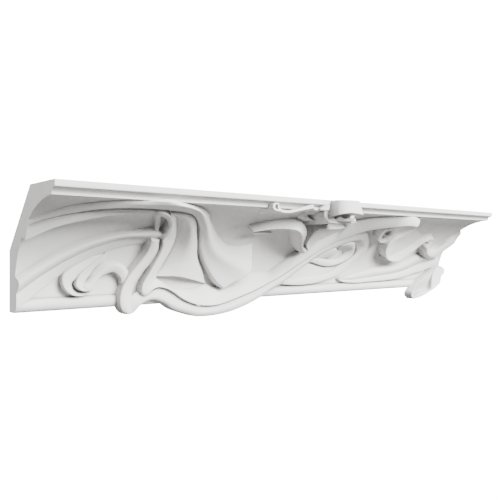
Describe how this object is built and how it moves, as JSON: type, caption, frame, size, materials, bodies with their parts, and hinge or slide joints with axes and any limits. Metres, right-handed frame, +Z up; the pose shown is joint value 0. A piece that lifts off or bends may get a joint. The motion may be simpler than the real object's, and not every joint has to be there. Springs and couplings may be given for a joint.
{
  "type": "cornice moulding section",
  "caption": "White plaster cornice section with a deep cove, fascia and bottom roll, overlaid with Art Nouveau whiplash ribbons, flared bells, loops and curls",
  "frame": {"origin": "middle of the flat face that sits on the wall: mid-length of the section and mid-height of that face, which is 100 mm high", "axes": "+X along the length, to the right as seen from the room; +Y into the wall, square to the wall face; +Z up to the ceiling"},
  "size_m": [1.19, 0.2225, 0.229],
  "materials": {
    "plaster": "matte cast gypsum plaster, unpainted"
  },
  "bodies": {
    "root": {"cornice_section": "plaster"}
  },
  "joints": []
}
